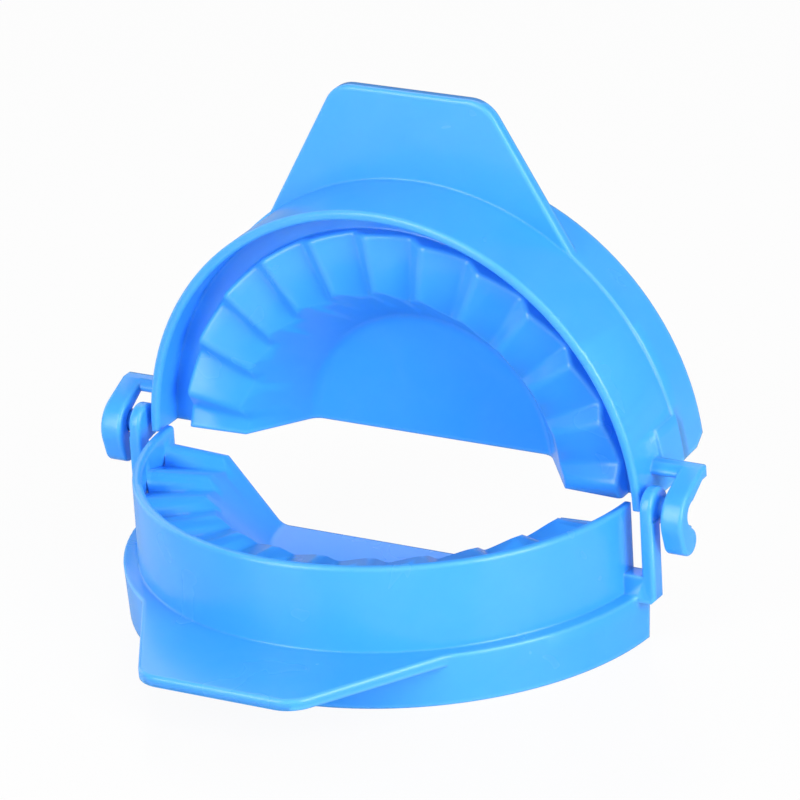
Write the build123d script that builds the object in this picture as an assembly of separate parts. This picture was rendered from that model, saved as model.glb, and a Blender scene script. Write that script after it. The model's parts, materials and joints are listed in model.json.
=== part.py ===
from build123d import *
import math
import os

# Empanada press in two moulded halves.
# The lower half carries two ears with hinge pins. The upper half carries two arms with
# hooks that snap over those pins. Each half is one thin-walled moulding: a rim wall round a
# half bowl, a ring of pleats that crimps the dough, a stepped cutter skirt and a finger tab.
#
# Frame: millimetres, +Z up, X along the hinge line, the finger tab of the lower half towards
# -Y. The lower half lies on the table and the upper half stands open. The origin is on the
# table, under the middle of the whole press.

# ---------------------------------------------------------------------------
# Driving dimensions
# ---------------------------------------------------------------------------

# Both mouldings
WALL = 1.8                   # wall of the moulding, everywhere
EDGE_ROUND = 0.6             # rounding of the rim and step edges
ARC_SET_BACK = 1.0           # centre of the round rims, behind the hinge line

# Rims and cutter skirts
RIM_RADIUS = 47.5            # outside of the lower rim wall
NEST_CLEARANCE = 0.45        # all round, between the lower rim wall and the upper one
RIM_HEIGHT = 15.8            # rim edge to step
CUTTER_STEP = 0.45           # cutter skirt beyond the upper rim wall
CUTTER_HEIGHT = 9.5          # step to cutting edge
CUTTER_DRAFT = 0.5           # the skirt draws in by this much down to its edge
CUTTER_EDGE = 1.2            # thickness of the cutting edge
SKIRT_END_RISE = 2.6         # the upper skirt ends this far above the hinge line
SKIRT_CORNER_DEPTH = 3.0     # slanted corner at each end of the upper skirt, along its height
SKIRT_CORNER_RISE = 1.6      # and along the rim

# Where each half ends at the hinge, measured from the hinge line
LOWER_END_GAP = 1.0          # the lower half stops short of it
UPPER_END_OVERRUN = 0.3      # the upper half runs past it

# Rims against the hinge line, with the press shut
LOWER_RIM_RISE = 0.6         # lower rim edge above the hinge line
UPPER_RIM_DROP = 2.4         # upper rim edge below it

# Pleats
PLEAT_COUNT = 12
PLEAT_RIM_CLEARANCE = 1.6    # outer ends of the upper pleats, inside the lower rim wall
PLEAT_CREST_DEPTH = 2.8      # crest below the rim edge, at the outer ends
PLEAT_FALL = 0.8             # the crests fall by this much to the bowl
PLEAT_HEIGHT = 2.4           # crest to trough, at the outer ends
PLEAT_LEAD = 6.9             # degrees from the right end of the hinge to the first steep side
PLEAT_STEEP_SHARE = 0.27     # share of each pleat that is its steep side
CREST_ROUND = 2.0            # rounding of the crests
TROUGH_ROUND = 1.2           # rounding of the troughs
PLEAT_END_ROUND = 0.8        # rounding of the outer ends of the upper pleats
PLEAT_TUCK = 0.6             # crests of the lower pleats run this far into the rim wall
SLIT_WIDTH = 0.7             # slits between the lower troughs and the rim wall
GROOVE_DEPTH = 6.5           # groove round the upper pleats, which takes the lower rim

# Bowl
LOWER_MOUTH_RADIUS = 34.8    # where the bowl meets the crests
UPPER_MOUTH_RADIUS = 33.2
BOWL_FLOOR_RADIUS = 24.0
BOWL_DEPTH = 15.8            # rim edge to bowl floor
BOWL_CORNER = 3.0            # rounding where the slope meets the floor
MOUTH_ROUND = 2.0            # rounding of the inner ends of the crests
MOUTH_CLEARANCE = 0.05       # that rounding ends this far above the rounded crests

# Finger tabs
TAB_REACH = 66.3             # from the centre of the round to the tip
TAB_TIP_WIDTH = 30.4         # over the corners, before they are rounded
TAB_ROOT_WIDTH = 61.0        # where the tab leaves the skirt
TAB_THICKNESS = 2.0
TAB_CORNER = 6.0             # corner radius at the tip

# Ears and pins of the lower half
EAR_GAP = 0.4                # cutter skirt to ear
EAR_THICKNESS = 2.3
EAR_HEAD_RADIUS = 3.5
EAR_HEAD_FORWARD = 1.4       # head centre in front of the pin
EAR_HEAD_RISE = 0.8          # head centre above the pin
EAR_STEM_SWELL = 0.2         # the stem is this much thicker outwards than the head
EAR_STEM_STEP = 1.2          # the swell starts this far below the pin
EAR_END_GAP = 1.5            # the stem stops this far short of the hinge line
EAR_FOOT = 1.2               # the stem ends this far below the step
EAR_FOOT_CHAMFER = 0.8
EAR_EDGE_ROUND = 0.6         # rounding of the edges of head and stem
BRACKET_HEIGHT = 3.75        # block on the step that ties the ear to the rim wall
PIN_RADIUS = 2.1
PIN_LENGTH = 3.4             # from the face of the ear
PIN_CHAMFER = 0.4

# Arms and hooks of the upper half, in the position in which it stands upright
HOOK_FIT = 0.08              # radial running clearance of the hook round the pin
HOOK_GAP = 1.8               # ear to hook
HOOK_WIDTH = 4.2
HOOK_WRAP = 160.0            # degrees of the pin that the hook takes round, from its top
HOOK_CHEEK = 5.8             # radius of the cheek in front of the pin
HOOK_CHEEK_BEHIND = 0.6      # cheek centre behind the pin
HOOK_CHEEK_DROP = 1.0        # cheek centre below the pin
HOOK_LIP = 2.5               # radius of the lip under the pin
HOOK_LIP_FORWARD = 1.8       # lip centre in front of the pin
HOOK_LIP_DROP = 4.8          # lip centre below the pin
HOOK_EDGE_ROUND = 0.6        # rounding of the hook's edges
ARM_FRONT = 2.7              # arm behind the pin
ARM_UNDER = 4.4              # arm above the pin
ARM_DEPTH = 3.1              # arm, from front to back
ARM_HEIGHT = 2.3
ARM_SLANT = 1.2              # slanted upper front edge of the arm
ARM_ROUND = 0.8              # rounding of its lower front edge
PAD_FRONT = 6.8              # front of the pad at the root of the arm, behind the pin
PAD_TOP = 11.2               # top of the pad above the pin

# Positions of the hinge
REST_OPENING = 88.6          # angle between the halves as the press stands

# ---------------------------------------------------------------------------
# Worked out from the driving dimensions
# ---------------------------------------------------------------------------

LOWER_RIM_INNER = RIM_RADIUS - WALL
UPPER_RIM_INNER = RIM_RADIUS + NEST_CLEARANCE
UPPER_RIM_OUTER = UPPER_RIM_INNER + WALL
CUTTER_RADIUS = UPPER_RIM_OUTER + CUTTER_STEP
HALF_HEIGHT = RIM_HEIGHT + CUTTER_HEIGHT
PLEAT_OUTER_RADIUS = LOWER_RIM_INNER - PLEAT_RIM_CLEARANCE

# The crests and troughs of the pleats are straight lines that all start at one point on the
# axis of the bowl, so that each side of a pleat is flat.
FAN_DEPTH = PLEAT_CREST_DEPTH + PLEAT_FALL * PLEAT_OUTER_RADIUS / (PLEAT_OUTER_RADIUS - UPPER_MOUTH_RADIUS)
CREST_SLOPE = (FAN_DEPTH - PLEAT_CREST_DEPTH) / PLEAT_OUTER_RADIUS
TROUGH_SLOPE = (FAN_DEPTH - PLEAT_CREST_DEPTH - PLEAT_HEIGHT) / PLEAT_OUTER_RADIUS
PITCH = 180 / PLEAT_COUNT
STEEP_WIDTH = math.radians(PITCH * PLEAT_STEEP_SHARE) * PLEAT_OUTER_RADIUS
GENTLE_WIDTH = math.radians(PITCH) * PLEAT_OUTER_RADIUS - STEEP_WIDTH
CREST_TURN = math.atan2(PLEAT_HEIGHT, STEEP_WIDTH) + math.atan2(PLEAT_HEIGHT, GENTLE_WIDTH)
CREST_LOSS = CREST_ROUND * (1 / math.cos(CREST_TURN / 2) - 1)     # height that the rounding takes off

EAR_INSIDE = CUTTER_RADIUS + EAR_GAP
EAR_OUTSIDE = EAR_INSIDE + EAR_THICKNESS
EAR_FRONT = -EAR_HEAD_FORWARD - EAR_HEAD_RADIUS
HOOK_INSIDE = EAR_OUTSIDE + HOOK_GAP
HOOK_OUTSIDE = HOOK_INSIDE + HOOK_WIDTH
STEP_DROP = RIM_HEIGHT - LOWER_RIM_RISE      # step of the lower half below the hinge line

LARGE = 4 * RIM_RADIUS                       # well beyond everything
SAME = 0.01                                  # nearer than this counts as the same


# ---------------------------------------------------------------------------
# Small helpers
# ---------------------------------------------------------------------------

def block(x: tuple, y: tuple, z: tuple) -> Part:
    """Rectangular block between two limits on each axis."""
    size = [high - low for low, high in (x, y, z)]
    middle = [(high + low) / 2 for low, high in (x, y, z)]
    return Pos(*middle) * Box(*size)


def turned(points: list, rounds: dict = None) -> Part:
    """Revolve a section of (radius, height) points about the Z axis.

    rounds maps the index of a point to the radius that rounds it.
    """
    section = make_face(Polyline(*points, close=True))
    for index, radius in (rounds or {}).items():
        corner = section.vertices().sort_by_distance((*points[index], 0))[0]
        section = fillet(corner, radius)
    return revolve(Plane.XZ * section, Axis.Z)


def polyhedron(faces: list) -> Solid:
    """Solid bounded by flat faces, each given by its corners."""
    return Solid(Shell([Face(Wire.make_polygon(corners)) for corners in faces]))


# ---------------------------------------------------------------------------
# One half: rim edge at z = 0, bowl opening upwards, finger tab towards -Y,
# centre of the round rims on the Z axis
# ---------------------------------------------------------------------------

def pleat_ends(lead: float, crest_radius: float, trough_radius: float, drop: float) -> list:
    """Outer ends of the crests and troughs, lowered by drop, in turn round the fan."""
    steep = PITCH * PLEAT_STEEP_SHARE
    ends = []
    for index in range(-1, PLEAT_COUNT + 1):
        for side, radius, slope in ((1, trough_radius, TROUGH_SLOPE), (-1, crest_radius, CREST_SLOPE)):
            angle = math.radians(-lead - index * PITCH + side * steep / 2)
            height = radius * slope - FAN_DEPTH - drop
            ends.append(Vector(radius * math.cos(angle), radius * math.sin(angle), height))
    return ends


def pleated_block(top: list, drop: float, bottom: float) -> Solid:
    """Block under the fan of pleats whose crests and troughs end at the points of top."""
    foot = [Vector(point.X, point.Y, bottom) for point in top]
    apex = Vector(0, 0, -FAN_DEPTH - drop)
    centre = Vector(0, 0, bottom)
    faces = [[centre] + foot]
    for a, b, c, d in zip(top, top[1:], foot[1:], foot):
        faces.append([apex, a, b])
        faces.append([a, b, c, d])
    faces.append([apex, top[0], foot[0], centre])
    faces.append([apex, top[-1], foot[-1], centre])
    return polyhedron(faces)


def rounded_pleats(top: list, outer_radius: float, bottom: float) -> Part:
    """Ring under the fan of pleats, with its crests and troughs rounded.

    top holds the ends of troughs and crests in turn. The ring stops at the outer radius.
    """
    inner = BOWL_FLOOR_RADIUS
    ring = Part() + pleated_block(top, 0, bottom) - Cylinder(inner, LARGE)
    ring = ring & Cylinder(outer_radius, LARGE)
    apex = Vector(0, 0, -FAN_DEPTH)
    for first, radius in ((1, CREST_ROUND), (2, TROUGH_ROUND)):
        edges = []
        for end in top[first:-1:2]:
            reach = math.hypot(end.X, end.Y)
            middle = apex + (end - apex) * ((inner + outer_radius) / 2 / reach)
            edges.append(ring.edges().sort_by_distance(middle)[0])
        ring = fillet(edges, radius)
    return ring


def round_pleat_ends(ring: Part) -> Part:
    """Round the upper edges at the outer ends of the pleats."""
    lowest = PLEAT_OUTER_RADIUS * TROUGH_SLOPE - FAN_DEPTH - WALL
    edges = []
    for edge in ring.edges():
        points = [edge @ share for share in (0, 0.5, 1)]
        away = max(abs(math.hypot(point.X, point.Y) - PLEAT_OUTER_RADIUS) for point in points)
        if away < SAME and min(point.Z for point in points) > lowest:
            edges.append(edge)
    return fillet(edges, PLEAT_END_ROUND)


def rim_and_skirt(inner: float) -> Part:
    """Rim wall, step and cutter skirt, all round."""
    outer = inner + WALL
    step = -RIM_HEIGHT
    edge = -HALF_HEIGHT
    points = [
        (inner, 0),
        (outer, 0),
        (outer, step),
        (CUTTER_RADIUS, step),
        (CUTTER_RADIUS - CUTTER_DRAFT, edge),
        (CUTTER_RADIUS - CUTTER_DRAFT - CUTTER_EDGE, edge),
        (CUTTER_RADIUS - WALL, step - WALL),
        (inner, step - WALL),
    ]
    return turned(points, {0: EDGE_ROUND, 1: EDGE_ROUND, 3: min(EDGE_ROUND, CUTTER_STEP / 2)})


def bowl(mouth_radius: float, offset: float) -> Part:
    """Room inside the bowl with its rounded mouth, or with an offset the outside of its wall."""
    mouth = mouth_radius * CREST_SLOPE - FAN_DEPTH
    slope = math.atan2(BOWL_DEPTH + mouth, mouth_radius - BOWL_FLOOR_RADIUS)
    run = 1 / math.tan(slope)
    side = offset / math.sin(slope)
    floor = -BOWL_DEPTH - offset
    top = WALL
    floor_radius = BOWL_FLOOR_RADIUS + side - offset * run
    if offset:
        top_radius = floor_radius + (top - floor) * run
        points = [(0, floor), (floor_radius, floor), (top_radius, top), (0, top)]
        return turned(points, {1: BOWL_CORNER + offset})
    loss = CREST_LOSS - MOUTH_CLEARANCE
    lip_radius = mouth_radius - loss * run
    lip = mouth - loss
    end = lip_radius + MOUTH_ROUND
    points = [
        (0, floor), (floor_radius, floor), (lip_radius, lip), (end, lip + MOUTH_ROUND * CREST_SLOPE),
        (end, top), (0, top)
    ]
    return turned(points, {1: BOWL_CORNER, 2: MOUTH_ROUND})


def finger_tab() -> Part:
    """Flat tab at the level of the step, from inside the skirt to its tip."""
    root = math.sqrt(CUTTER_RADIUS**2 - (TAB_ROOT_WIDTH / 2) ** 2)
    tip, wide = TAB_TIP_WIDTH / 2, TAB_ROOT_WIDTH / 2
    inside = RIM_RADIUS / 2
    lean = (wide - tip) / (TAB_REACH - root)
    widest = wide + lean * (root - inside)
    outline = make_face(Polyline(
        (-widest, -inside), (-tip, -TAB_REACH), (tip, -TAB_REACH), (widest, -inside), close=True
    ))
    outline = fillet(outline.vertices().group_by(Axis.Y)[0], TAB_CORNER)
    plate = extrude(outline, -TAB_THICKNESS)
    plate = Pos(0, 0, -RIM_HEIGHT) * plate
    edges = plate.edges().group_by(Axis.Z)[-1]
    plate = fillet(edges.filter_by(lambda edge: edge.center().Y < -root), EDGE_ROUND)
    return plate - Pos(0, 0, -RIM_HEIGHT) * Cylinder(CUTTER_RADIUS - WALL, LARGE)


def half(rim_inner: float, end: float, has_groove: bool) -> Part:
    """Moulded half without its hinge parts.

    end is where it stops at the hinge, and has_groove tells the upper half from the lower.
    """
    floor = -BOWL_DEPTH - WALL
    mouth_radius = UPPER_MOUTH_RADIUS if has_groove else LOWER_MOUTH_RADIUS
    lead = PITCH - PLEAT_LEAD if has_groove else PLEAT_LEAD
    body = rim_and_skirt(rim_inner)
    if has_groove:
        top = pleat_ends(lead, RIM_RADIUS, RIM_RADIUS, 0)
        body += round_pleat_ends(rounded_pleats(top, PLEAT_OUTER_RADIUS, floor))
        body += turned([
            (PLEAT_OUTER_RADIUS - WALL, -GROOVE_DEPTH),
            (rim_inner + WALL / 2, -GROOVE_DEPTH),
            (rim_inner + WALL / 2, -GROOVE_DEPTH - WALL),
            (PLEAT_OUTER_RADIUS - WALL, -GROOVE_DEPTH - WALL),
        ])
        inside = PLEAT_OUTER_RADIUS - WALL
        room = pleated_block(pleat_ends(lead, inside, inside, WALL), WALL, -LARGE)
        channel = Pos(0, 0, -GROOVE_DEPTH - WALL) * Cylinder(
            rim_inner, LARGE, align=(Align.CENTER, Align.CENTER, Align.MAX)
        )
        room = channel + room
    else:
        top = pleat_ends(lead, rim_inner + PLEAT_TUCK, rim_inner - SLIT_WIDTH, 0)
        body += rounded_pleats(top, RIM_RADIUS, floor)
        far = 2 * RIM_RADIUS
        room = Cylinder(rim_inner, LARGE) & pleated_block(pleat_ends(lead, far, far, WALL), WALL, -LARGE)
    middle = (BOWL_FLOOR_RADIUS + mouth_radius) / 2
    body += Pos(0, 0, floor) * Cylinder(middle, BOWL_DEPTH / 2, align=(Align.CENTER, Align.CENTER, Align.MIN))
    body += finger_tab()
    body -= bowl(mouth_radius, 0)
    body -= room - bowl(mouth_radius, WALL)
    return body & block((-LARGE, LARGE), (-LARGE, -end), (-LARGE, LARGE))


# ---------------------------------------------------------------------------
# Lower half, about the hinge line with the press shut
# ---------------------------------------------------------------------------

def ear() -> Part:
    """Right-hand ear with its pin and the bracket that ties it to the rim wall."""
    head = Pos(-EAR_HEAD_FORWARD, EAR_HEAD_RISE) * Circle(EAR_HEAD_RADIUS)
    foot = -STEP_DROP - EAR_FOOT
    stem = Pos(EAR_FRONT, foot) * Rectangle(-EAR_END_GAP - EAR_FRONT, EAR_HEAD_RISE - foot, align=Align.MIN)
    body = extrude(Plane.YZ.offset(EAR_INSIDE) * (head + stem), EAR_THICKNESS)
    for side in (-1, 0):
        rim = body.edges().group_by(Axis.X)[side]
        body = fillet(rim.filter_by(lambda edge: (edge @ 0.5).Z > foot + SAME), EAR_EDGE_ROUND)
    swell = block(
        (EAR_INSIDE + EAR_THICKNESS / 2, EAR_OUTSIDE + EAR_STEM_SWELL), (EAR_FRONT, -EAR_END_GAP),
        (foot, -EAR_STEM_STEP)
    )
    swell = fillet(swell.edges().filter_by(Axis.Z).group_by(Axis.X)[-1], EAR_EDGE_ROUND)
    outside = EAR_OUTSIDE + EAR_STEM_SWELL
    cut = EAR_FOOT_CHAMFER
    slant = make_face(Polyline(
        (outside - 2 * cut, foot - cut), (outside + cut, foot - cut), (outside + cut, foot + 2 * cut),
        close=True
    ))
    body = body + swell - extrude(Plane.XZ * slant, LARGE, both=True)
    inwards = (LOWER_RIM_INNER + WALL / 2, EAR_INSIDE + EAR_EDGE_ROUND)
    body += block(inwards, (EAR_FRONT, -EAR_END_GAP), (-STEP_DROP - WALL / 2, -STEP_DROP + BRACKET_HEIGHT))
    inwards = (CUTTER_RADIUS - WALL / 2, EAR_INSIDE + EAR_EDGE_ROUND)
    body += block(inwards, (EAR_FRONT, -EAR_END_GAP), (foot, -STEP_DROP))
    pin = Cylinder(PIN_RADIUS, EAR_THICKNESS + PIN_LENGTH, align=(Align.CENTER, Align.CENTER, Align.MIN))
    pin = chamfer(pin.edges().group_by(Axis.Z)[-1], PIN_CHAMFER)
    return body + Pos(EAR_INSIDE, 0, 0) * Rot(Y=90) * pin


def lower_half() -> Part:
    """Lower moulding, about the hinge line."""
    body = half(LOWER_RIM_INNER, ARC_SET_BACK + LOWER_END_GAP, has_groove=False)
    body = Pos(0, ARC_SET_BACK, LOWER_RIM_RISE) * body
    flat = math.sqrt(RIM_RADIUS**2 - (ARC_SET_BACK - EAR_FRONT) ** 2)
    for side in (1, -1):
        x = sorted((side * flat, side * (flat + WALL)))
        body -= block(x, (EAR_FRONT, WALL), (-STEP_DROP, WALL))
    return body + ear() + mirror(ear(), Plane.YZ)


# ---------------------------------------------------------------------------
# Upper half, about the hinge line as it stands upright
# ---------------------------------------------------------------------------

def arm_and_hook() -> Part:
    """Right-hand arm over the ear, with its root on the rim wall and the hook round the pin."""
    seat = PIN_RADIUS + HOOK_FIT
    back = ARM_FRONT + ARM_DEPTH
    top = ARM_UNDER + ARM_HEIGHT
    arm = make_face(Polyline(
        (ARM_FRONT, ARM_UNDER), (back, ARM_UNDER), (back, top), (ARM_FRONT + ARM_SLANT, top),
        (ARM_FRONT, top - ARM_SLANT), close=True
    ))
    arm = fillet(arm.vertices().sort_by_distance((ARM_FRONT, ARM_UNDER, 0))[0], ARM_ROUND)
    cheek = Pos(HOOK_CHEEK_BEHIND, -HOOK_CHEEK_DROP) * Circle(HOOK_CHEEK)
    lip = Pos(-HOOK_LIP_FORWARD, -HOOK_LIP_DROP) * Circle(HOOK_LIP)
    web = make_hull(cheek.edges() + lip.edges()) + make_hull(cheek.edges() + arm.edges())
    wrap_end = math.radians(90 + HOOK_WRAP)
    tip = (seat * math.cos(wrap_end), seat * math.sin(wrap_end))
    mouth = make_face(Polyline(
        (0, 0), (0, seat), (ARM_FRONT + ARM_SLANT, ARM_UNDER), (back, ARM_UNDER), (back, LARGE),
        (LARGE, LARGE), (LARGE, -LARGE), (-HOOK_LIP_FORWARD, -LARGE), (-HOOK_LIP_FORWARD, -HOOK_LIP_DROP),
        tip, close=True
    ))
    body = extrude(Plane.YZ.offset(HOOK_INSIDE) * (web - mouth + lip - Circle(seat)), HOOK_WIDTH)
    for side in (-1, 0):
        body = fillet(body.edges().group_by(Axis.X)[side], HOOK_EDGE_ROUND)
    root = UPPER_RIM_INNER + WALL / 2
    return body + extrude(Plane.YZ.offset(root) * arm, HOOK_INSIDE + WALL / 2 - root)


def root_pad() -> Part:
    """Pad on the rim wall, flush with the skirt, that the right-hand arm grows out of."""
    step = RIM_HEIGHT - UPPER_RIM_DROP
    body = block((0, CUTTER_RADIUS), (PAD_FRONT, step + WALL / 2), (SKIRT_END_RISE, PAD_TOP))
    ring = Cylinder(CUTTER_RADIUS, LARGE) - Cylinder(UPPER_RIM_INNER + WALL / 2, LARGE)
    return body & Pos(0, 0, -ARC_SET_BACK) * Rot(X=90) * ring


def skirt_end_cut() -> Part:
    """What both ends of the upper skirt are cut back by."""
    step = RIM_HEIGHT - UPPER_RIM_DROP
    edge = HALF_HEIGHT - UPPER_RIM_DROP
    outline = make_face(Polyline(
        (step, -LARGE), (step, SKIRT_END_RISE), (edge - SKIRT_CORNER_DEPTH, SKIRT_END_RISE),
        (edge, SKIRT_END_RISE + SKIRT_CORNER_RISE), (edge + WALL, SKIRT_END_RISE + SKIRT_CORNER_RISE),
        (edge + WALL, -LARGE), close=True
    ))
    right = extrude(Plane.YZ.offset(UPPER_RIM_INNER - WALL) * outline, LARGE)
    return right + mirror(right, Plane.YZ)


def upper_half() -> Part:
    """Upper moulding, standing open about the hinge line."""
    body = half(UPPER_RIM_INNER, ARC_SET_BACK - UPPER_END_OVERRUN, has_groove=True)
    body = Rot(X=-90) * Pos(0, ARC_SET_BACK, -UPPER_RIM_DROP) * Rot(Y=180) * body
    body -= skirt_end_cut()
    for part in (arm_and_hook(), root_pad()):
        body += part + mirror(part, Plane.YZ)
    return Rot(X=90 - REST_OPENING) * body


# ---------------------------------------------------------------------------
# One STEP file for each piece
# ---------------------------------------------------------------------------

pieces = {"lower_half": lower_half(), "upper_half": upper_half()}

# The table is under the lower half, and the origin under the middle of the whole press.
press = Compound(list(pieces.values())).bounding_box()
hinge_place = Pos(-press.center().X, -press.center().Y, -press.min.Z)

os.makedirs("parts", exist_ok=True)
for name, piece in pieces.items():
    placed = hinge_place * piece
    placed.label = name
    export_step(placed, f"parts/{name}.step")
print("hinge line at", hinge_place.position)
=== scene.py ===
"""Empanada press: the finish of its two moulded halves, the studio and the camera.

The frame gives both halves and the hinge line. Each half is taken from the frame, joined into
one skin, shaded smooth between its corners and dressed in blue polypropylene, whose shading
rounds the corners as a polished mould does. Lengths are metres, with sizes written in
millimetres times MM.
"""

import json
import logging
import math
from dataclasses import dataclass, field
from enum import Enum

import bmesh
import bpy
from mathutils import Matrix, Vector


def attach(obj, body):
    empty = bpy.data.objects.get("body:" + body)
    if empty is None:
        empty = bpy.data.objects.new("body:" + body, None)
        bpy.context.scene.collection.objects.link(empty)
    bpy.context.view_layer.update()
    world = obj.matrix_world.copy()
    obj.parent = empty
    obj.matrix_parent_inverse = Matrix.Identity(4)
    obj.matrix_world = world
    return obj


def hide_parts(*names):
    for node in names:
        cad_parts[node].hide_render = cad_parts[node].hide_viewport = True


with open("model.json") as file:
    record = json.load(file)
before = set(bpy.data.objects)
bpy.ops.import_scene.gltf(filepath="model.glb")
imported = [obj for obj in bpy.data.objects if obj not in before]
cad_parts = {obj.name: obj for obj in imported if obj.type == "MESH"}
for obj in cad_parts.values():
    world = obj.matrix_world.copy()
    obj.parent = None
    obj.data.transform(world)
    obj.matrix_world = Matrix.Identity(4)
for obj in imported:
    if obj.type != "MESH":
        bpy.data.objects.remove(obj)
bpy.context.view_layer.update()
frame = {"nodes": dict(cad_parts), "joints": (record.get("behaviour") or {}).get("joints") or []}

MM = 0.001
WHITE = "#FFFFFF"

# The colour sockets of a Mix node, whose names it shares with its number and vector sockets.
MIX_A, MIX_B, MIX_RESULT = 6, 7, 2

log = logging.getLogger("empanada_press")


# ---------------------------------------------------------------------------
# Colour and node helpers
# ---------------------------------------------------------------------------


def linear(hex_colour: str) -> tuple[float, float, float, float]:
    """Turn an sRGB hex colour into linear RGBA, by the standard sRGB curve.

    Args:
        hex_colour: Colour such as "#4FADFF".

    Returns:
        Linear red, green and blue, and an alpha of 1.
    """
    digits = hex_colour.lstrip("#")
    parts = [int(digits[i : i + 2], 16) / 255 for i in (0, 2, 4)]
    red, green, blue = [
        part / 12.92 if part <= 0.04045 else ((part + 0.055) / 1.055) ** 2.4 for part in parts
    ]
    return (red, green, blue, 1.0)


def add_node(
    tree: bpy.types.NodeTree,
    kind: str,
    settings: dict[str, object] | None = None,
    sockets: dict[str | int, object] | None = None,
) -> bpy.types.Node:
    """Add one node, with its settings, its socket values and its links.

    Args:
        tree: Node tree that the node goes into.
        kind: Type name of the node.
        settings: Attribute name to value.
        sockets: Input name or number to a value, or to an output socket to link from.

    Returns:
        The new node.
    """
    node = tree.nodes.new(kind)
    for name, value in (settings or {}).items():
        setattr(node, name, value)
    for name, value in (sockets or {}).items():
        if isinstance(value, bpy.types.NodeSocket):
            tree.links.new(value, node.inputs[name])
        else:
            node.inputs[name].default_value = value
    return node


def new_tree(name: str) -> tuple[bpy.types.Material, bpy.types.NodeTree]:
    """Make an empty node material.

    Args:
        name: Name of the material.

    Returns:
        The material and its node tree.
    """
    material = bpy.data.materials.new(name)
    material.use_nodes = True
    material.node_tree.nodes.clear()
    return material, material.node_tree


def direction(azimuth: float, elevation: float) -> Vector:
    """Unit vector from the press towards a lamp or the camera.

    Args:
        azimuth: Degrees, 0 in front of the press and 90 at its right.
        elevation: Degrees above the table.

    Returns:
        The direction.
    """
    turn, rise = math.radians(azimuth), math.radians(elevation)
    return Vector(
        (
            math.sin(turn) * math.cos(rise),
            -math.cos(turn) * math.cos(rise),
            math.sin(rise),
        )
    )


# ---------------------------------------------------------------------------
# Finishes
# ---------------------------------------------------------------------------


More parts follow.
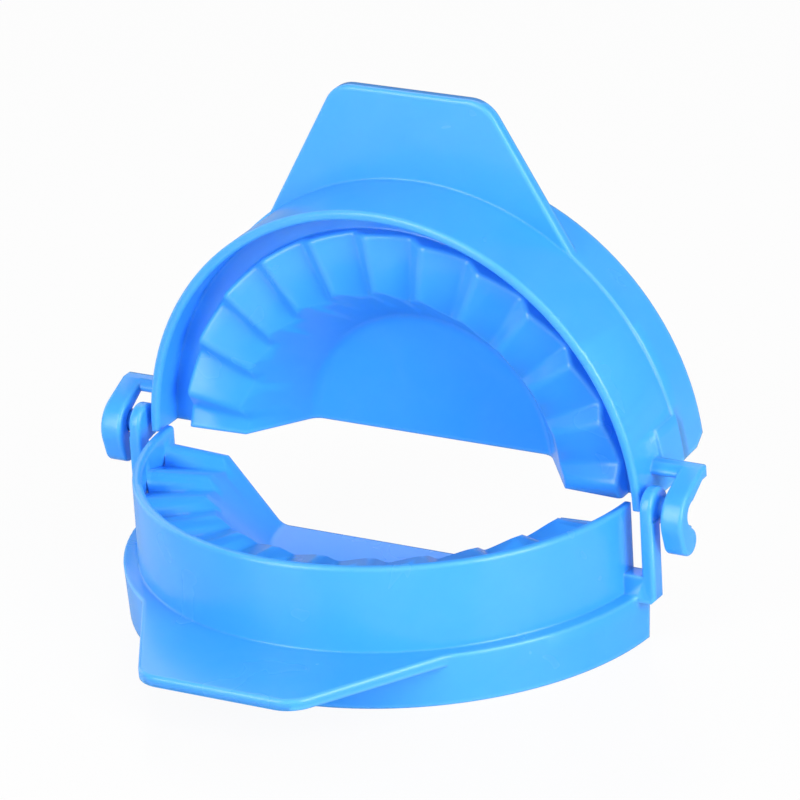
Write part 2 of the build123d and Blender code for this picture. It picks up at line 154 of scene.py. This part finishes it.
@dataclass(frozen=True)
class MouldedPolypropylene:
    """Blue polypropylene, injection-moulded in a polished steel tool.

    The eye sees a bright, even blue with a soft gloss. Light enters a little way, so that thin
    edges glow and hollows turn deep blue, not grey. A painted highlight, a lighter blue laid on
    the outer corners, adds to the edges' glow. The surface has faint waves where the melt
    flowed, and a few pale specks of dust and unmelted pellet.
    """

    name: str = "injection_moulded_polypropylene"

    # Pigment, and its drift along the flow of the melt.
    blue: str = "#349DF6"
    pale_blue: str = "#46A3F8"
    flow_wave: float = 12.0 * MM
    flow_detail: float = 2.0
    flow_curl: float = 0.6

    # Polished skin, whose gloss drifts with the flow too.
    roughness: float = 0.26
    roughness_spread: float = 0.08
    ior: float = 1.49
    peel_grain: float = 0.9 * MM
    peel_detail: float = 3.0
    peel_height: float = 0.05 * MM
    peel_strength: float = 0.04

    # Light inside the plastic reaches furthest in blue.
    glow: float = 0.25
    depth_of_glow: float = 1.2 * MM
    reach_by_colour: tuple[float, float, float] = (0.25, 0.55, 1.0)

    # Corners are softly rounded in the shading. They also get a painted highlight, a lighter
    # blue where the plastic thins out to them.
    edge_round: float = 0.7 * MM
    edge_round_samples: int = 8
    painted_highlight_blue: str = "#74C2FF"
    edge_reach: float = 0.9 * MM
    edge_reach_samples: int = 4
    edge_full_at: float = 0.4
    painted_highlight_share: float = 0.65

    # Specks, as a share of their spacing.
    speck_blue: str = "#A9D6FF"
    speck_spacing: float = 16.0 * MM
    speck_share: float = 0.012

    def build(self) -> bpy.types.Material:
        """Build the material.

        Returns:
            The finished material.
        """
        material, tree = new_tree(self.name)
        place = add_node(tree, "ShaderNodeTexCoord").outputs["Object"]
        flow = add_node(
            tree,
            "ShaderNodeTexNoise",
            sockets={
                "Vector": place,
                "Scale": 1 / self.flow_wave,
                "Detail": self.flow_detail,
                "Distortion": self.flow_curl,
            },
        ).outputs["Fac"]
        shader = add_node(
            tree,
            "ShaderNodeBsdfPrincipled",
            sockets={
                "Base Color": self.colour(tree, place, flow),
                "Roughness": self.gloss(tree, flow),
                "IOR": self.ior,
                "Normal": self.relief(tree, place),
                "Subsurface Weight": self.glow,
                "Subsurface Radius": self.reach_by_colour,
                "Subsurface Scale": self.depth_of_glow,
            },
        )
        add_node(tree, "ShaderNodeOutputMaterial", sockets={"Surface": shader.outputs["BSDF"]})
        return material

    def colour(
        self,
        tree: bpy.types.NodeTree,
        place: bpy.types.NodeSocket,
        flow: bpy.types.NodeSocket,
    ) -> bpy.types.NodeSocket:
        """Mix the pigment's two blues, then lay the painted edge highlight and the specks over
        them.

        Args:
            tree: Node tree of the material.
            place: Object coordinates.
            flow: Waves of the melt, from 0 to 1.

        Returns:
            The colour.
        """
        body = add_node(
            tree,
            "ShaderNodeMix",
            {"data_type": "RGBA"},
            {"Factor": flow, MIX_A: linear(self.blue), MIX_B: linear(self.pale_blue)},
        ).outputs[MIX_RESULT]
        # Painted highlight: a lighter blue laid over the outer corners.
        highlighted = add_node(
            tree,
            "ShaderNodeMix",
            {"data_type": "RGBA"},
            {"Factor": self.painted_highlight_mask(tree), MIX_A: body, MIX_B: linear(self.painted_highlight_blue)},
        ).outputs[MIX_RESULT]
        return add_node(
            tree,
            "ShaderNodeMix",
            {"data_type": "RGBA"},
            {"Factor": self.specks(tree, place), MIX_A: highlighted, MIX_B: linear(self.speck_blue)},
        ).outputs[MIX_RESULT]

    def painted_highlight_mask(self, tree: bpy.types.NodeTree) -> bpy.types.NodeSocket:
        """Find the outer corners for a painted highlight, standing in for light that comes
        through the plastic from two sides.

        Args:
            tree: Node tree of the material.

        Returns:
            The share of the painted highlight colour, 0 on flat walls.
        """
        closed = add_node(
            tree,
            "ShaderNodeAmbientOcclusion",
            {"inside": True, "only_local": True, "samples": self.edge_reach_samples},
            {"Distance": self.edge_reach},
        ).outputs["AO"]
        return add_node(
            tree,
            "ShaderNodeMapRange",
            sockets={
                "Value": closed,
                "From Min": 1.0,
                "From Max": self.edge_full_at,
                "To Max": self.painted_highlight_share,
            },
        ).outputs["Result"]

    def specks(
        self, tree: bpy.types.NodeTree, place: bpy.types.NodeSocket
    ) -> bpy.types.NodeSocket:
        """Scatter pale specks over the surface.

        Args:
            tree: Node tree of the material.
            place: Object coordinates.

        Returns:
            1 in a speck and 0 beside it.
        """
        cells = add_node(
            tree,
            "ShaderNodeTexVoronoi",
            sockets={"Vector": place, "Scale": 1 / self.speck_spacing},
        ).outputs["Distance"]
        return add_node(
            tree, "ShaderNodeMath", {"operation": "LESS_THAN"}, {0: cells, 1: self.speck_share}
        ).outputs[0]

    def gloss(
        self, tree: bpy.types.NodeTree, flow: bpy.types.NodeSocket
    ) -> bpy.types.NodeSocket:
        """Let the roughness drift with the flow of the melt.

        Args:
            tree: Node tree of the material.
            flow: Waves of the melt, from 0 to 1.

        Returns:
            The roughness.
        """
        return add_node(
            tree,
            "ShaderNodeMapRange",
            sockets={
                "Value": flow,
                "To Min": self.roughness - self.roughness_spread / 2,
                "To Max": self.roughness + self.roughness_spread / 2,
            },
        ).outputs["Result"]

    def relief(
        self, tree: bpy.types.NodeTree, place: bpy.types.NodeSocket
    ) -> bpy.types.NodeSocket:
        """Round the corners and lay a faint orange peel over the skin.

        Args:
            tree: Node tree of the material.
            place: Object coordinates.

        Returns:
            The shading normal.
        """
        soft_corners = add_node(
            tree,
            "ShaderNodeBevel",
            {"samples": self.edge_round_samples},
            {"Radius": self.edge_round},
        ).outputs["Normal"]
        peel = add_node(
            tree,
            "ShaderNodeTexNoise",
            sockets={
                "Vector": place,
                "Scale": 1 / self.peel_grain,
                "Detail": self.peel_detail,
            },
        ).outputs["Fac"]
        return add_node(
            tree,
            "ShaderNodeBump",
            sockets={
                "Strength": self.peel_strength,
                "Distance": self.peel_height,
                "Height": peel,
                "Normal": soft_corners,
            },
        ).outputs["Normal"]


@dataclass(frozen=True)
class StudioBoard:
    """White studio board with an acrylic coat, satin.

    The camera sees it nearly plain white, with the soft shadow of the press. The press sees a
    light grey that also mirrors the softboxes, as broad soft streaks on the upright walls.
    """

    name: str = "white_studio_board"
    grey: str = "#D2D2D2"
    roughness: float = 0.22
    ior: float = 1.49
    clear_share: float = 0.94

    def build(self) -> bpy.types.Material:
        """Build the material.

        Returns:
            The finished material.
        """
        material, tree = new_tree(self.name)
        board = add_node(
            tree,
            "ShaderNodeBsdfPrincipled",
            sockets={
                "Base Color": linear(self.grey),
                "Roughness": self.roughness,
                "IOR": self.ior,
            },
        ).outputs["BSDF"]
        clear = add_node(
            tree,
            "ShaderNodeEmission",
            sockets={"Color": linear(WHITE), "Strength": 1.0},
        ).outputs["Emission"]
        seen = add_node(tree, "ShaderNodeLightPath").outputs["Is Camera Ray"]
        share = add_node(
            tree, "ShaderNodeMath", {"operation": "MULTIPLY"}, {0: seen, 1: self.clear_share}
        ).outputs[0]
        look = add_node(
            tree, "ShaderNodeMixShader", sockets={0: share, 1: board, 2: clear}
        ).outputs["Shader"]
        add_node(tree, "ShaderNodeOutputMaterial", sockets={"Surface": look})
        return material


# ---------------------------------------------------------------------------
# The two halves
# ---------------------------------------------------------------------------


class HalfKind(Enum):
    """Which half of the press a moulding is, by the name of its frame node."""

    LOWER = "lower_half"
    UPPER = "upper_half"


@dataclass
class MouldedHalf:
    """One half of the press, from its frame node.

    Angles are the largest turns between neighbouring faces that still count as flat, and as
    smooth.
    """

    kind: HalfKind
    body: str
    merge: float = 0.001 * MM
    flat_angle: float = math.radians(0.4)
    smooth_angle: float = math.radians(33)

    def build(self, finish: bpy.types.Material) -> bpy.types.Object:
        """Build the half from its frame node and dress it.

        Args:
            finish: Material of the moulding.

        Returns:
            The finished piece, riding on its body.
        """
        name = self.kind.value + "_moulding"
        shape = self.copy_node()
        mesh = bpy.data.meshes.new(name)
        shape.to_mesh(mesh)
        shape.free()
        self.dress(mesh, finish)
        piece = bpy.data.objects.new(name, mesh)
        bpy.context.scene.collection.objects.link(piece)
        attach(piece, self.body)
        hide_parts(self.kind.value)
        return piece

    def copy_node(self) -> bmesh.types.BMesh:
        """Copy the frame node, join its loose triangles and make its flat faces whole.

        Returns:
            The closed skin of the half.
        """
        shape = bmesh.new()
        shape.from_mesh(frame["nodes"][self.kind.value].data)
        bmesh.ops.remove_doubles(shape, verts=shape.verts, dist=self.merge)
        bmesh.ops.dissolve_limit(
            shape, angle_limit=self.flat_angle, verts=shape.verts, edges=shape.edges
        )
        return shape

    def dress(self, mesh: bpy.types.Mesh, finish: bpy.types.Material) -> None:
        """Shade the skin smooth between its corners and give it its finish.

        Args:
            mesh: Skin of the half.
            finish: Material of the moulding.
        """
        mesh.materials.append(finish)
        mesh.shade_smooth()
        mesh.set_sharp_from_angle(angle=self.smooth_angle)


# ---------------------------------------------------------------------------
# Studio
# ---------------------------------------------------------------------------


@dataclass
class Softbox:
    """One square softbox, with its direction in degrees and its power in watts."""

    name: str
    azimuth: float
    elevation: float
    size: float
    power: float
    distance: float = 2.0

    def build(self, target: Vector) -> bpy.types.Object:
        """Hang the lamp and aim it.

        Args:
            target: Point that the lamp faces.

        Returns:
            The lamp.
        """
        lamp = bpy.data.lights.new(self.name, "AREA")
        lamp.shape = "SQUARE"
        lamp.size = self.size
        lamp.energy = self.power
        stand = bpy.data.objects.new(self.name, lamp)
        back = direction(self.azimuth, self.elevation)
        stand.location = target + back * self.distance
        stand.rotation_mode = "QUATERNION"
        stand.rotation_quaternion = back.to_track_quat("Z", "Y")
        bpy.context.scene.collection.objects.link(stand)
        return stand


@dataclass
class Studio:
    """White board, soft light and the camera.

    The board lies a hair below the table plane, so that it never shares a plane with the
    cutting edge that rests on it.
    """

    hinge: Vector

    # Camera, aimed from the middle of the hinge line. Angles are degrees.
    aim_from_hinge: Vector = field(default_factory=lambda: Vector((-3.72, 8.89, 8.22)) * MM)
    azimuth: float = 30.486
    elevation: float = 22.339
    roll: float = -3.527
    distance: float = 1017.1 * MM
    lens: float = 256.78
    sensor: float = 36.0
    nearest: float = 0.05
    furthest: float = 20.0

    # Board and sky.
    floor_reach: float = 6.0
    floor_drop: float = 0.02 * MM
    sky_for_press: float = 0.3
    sky_for_camera: float = 1.0

    boxes: tuple[Softbox, ...] = (
        Softbox("left_strip", azimuth=-24.0, elevation=10.0, size=0.8, power=10.8),
        Softbox("left_softbox", azimuth=-20.0, elevation=32.0, size=1.0, power=15.2),
        Softbox("front_softbox", azimuth=25.0, elevation=18.0, size=1.0, power=3.6),
        Softbox("right_softbox", azimuth=72.0, elevation=14.0, size=1.0, power=25.2),
        Softbox("key_softbox", azimuth=75.0, elevation=40.0, size=1.2, power=15.0),
        Softbox("top_softbox", azimuth=25.0, elevation=68.0, size=1.4, power=3.6),
        Softbox("back_left_softbox", azimuth=-150.0, elevation=40.0, size=1.4, power=8.2),
        Softbox("side_left_softbox", azimuth=-100.0, elevation=18.0, size=1.4, power=8.4),
    )

    def build(self) -> None:
        """Build the floor, the light and the camera."""
        self.build_floor()
        self.build_sky()
        for box in self.boxes:
            box.build(self.hinge)
        self.build_camera()
        bpy.context.scene.view_settings.view_transform = "Standard"

    def build_floor(self) -> None:
        """Lay the board that the press stands on."""
        sheet = bmesh.new()
        bmesh.ops.create_grid(sheet, x_segments=1, y_segments=1, size=self.floor_reach)
        bmesh.ops.translate(sheet, verts=sheet.verts, vec=Vector((0, 0, -self.floor_drop)))
        mesh = bpy.data.meshes.new("studio_floor")
        sheet.to_mesh(mesh)
        sheet.free()
        mesh.materials.append(StudioBoard().build())
        floor = bpy.data.objects.new("studio_floor", mesh)
        bpy.context.scene.collection.objects.link(floor)

    def build_sky(self) -> None:
        """Light the press evenly from all sides, with white behind it for the camera."""
        world = bpy.data.worlds.new("studio_sky")
        world.use_nodes = True
        tree = world.node_tree
        tree.nodes.clear()
        seen = add_node(tree, "ShaderNodeLightPath").outputs["Is Camera Ray"]
        strength = add_node(
            tree,
            "ShaderNodeMapRange",
            sockets={
                "Value": seen,
                "To Min": self.sky_for_press,
                "To Max": self.sky_for_camera,
            },
        ).outputs["Result"]
        light = add_node(
            tree,
            "ShaderNodeBackground",
            sockets={"Color": linear(WHITE), "Strength": strength},
        ).outputs["Background"]
        add_node(tree, "ShaderNodeOutputWorld", sockets={"Surface": light})
        bpy.context.scene.world = world

    def build_camera(self) -> None:
        """Set up the camera and make it the scene's own."""
        lens = bpy.data.cameras.new("camera")
        lens.lens = self.lens
        lens.sensor_width = self.sensor
        lens.clip_start, lens.clip_end = self.nearest, self.furthest
        camera = bpy.data.objects.new("camera", lens)
        back = direction(self.azimuth, self.elevation)
        level = Vector((-back.y, back.x, 0)).normalized()
        upright = back.cross(level)
        turn = math.radians(self.roll)
        right = math.cos(turn) * level + math.sin(turn) * upright
        up = math.cos(turn) * upright - math.sin(turn) * level
        place = Matrix((right, up, back)).transposed().to_4x4()
        place.translation = self.hinge + self.aim_from_hinge + back * self.distance
        camera.matrix_world = place
        bpy.context.scene.collection.objects.link(camera)
        bpy.context.scene.camera = camera


def main() -> None:
    """Build the halves and the studio, and note the sizes."""
    logging.basicConfig(level=logging.INFO, format="%(name)s: %(message)s")
    finish = MouldedPolypropylene().build()
    for half in (MouldedHalf(HalfKind.LOWER, "lower"), MouldedHalf(HalfKind.UPPER, "upper")):
        piece = half.build(finish)
        log.info("%s: %d faces", piece.name, len(piece.data.polygons))
    Studio(hinge=Vector(frame["joints"][0]["pos_m"])).build()


if __name__ == "__main__":
    main()
